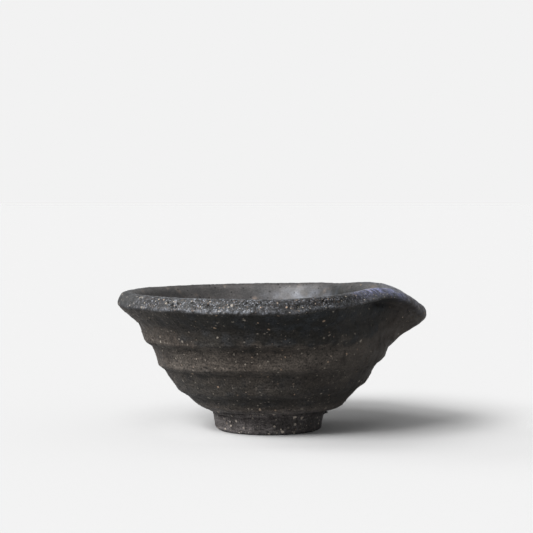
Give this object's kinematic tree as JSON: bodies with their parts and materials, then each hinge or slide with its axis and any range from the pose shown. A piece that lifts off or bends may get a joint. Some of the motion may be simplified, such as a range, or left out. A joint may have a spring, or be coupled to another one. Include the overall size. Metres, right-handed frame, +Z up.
{
  "type": "katakuchi sake pourer",
  "caption": "Dark grogged stoneware pouring bowl with stepped throwing ridges, a thick rim pinched into a short beak spout, and a small foot ring, for serving sake.",
  "frame": {"origin": "centre of the foot ring's standing face, on the bowl's axis", "axes": "+Z up along the bowl's axis, +X from the axis towards the spout"},
  "size_m": [0.1282, 0.1258, 0.0605],
  "materials": {
    "foot_clay": "bare, grogged, worn at the standing edge",
    "wall_clay": "unglazed, smoke-blackened, rough with grog",
    "rim_clay": "unglazed, grey, sandy, with a faint sheen"
  },
  "bodies": {
    "root": {"foot_ring": "foot_clay", "floor_disc": "wall_clay", "wall_course_1": "wall_clay", "wall_course_2": "wall_clay", "wall_course_3": "wall_clay", "flare_collar": "wall_clay", "rim_band": "rim_clay", "spout": "rim_clay"}
  },
  "joints": []
}
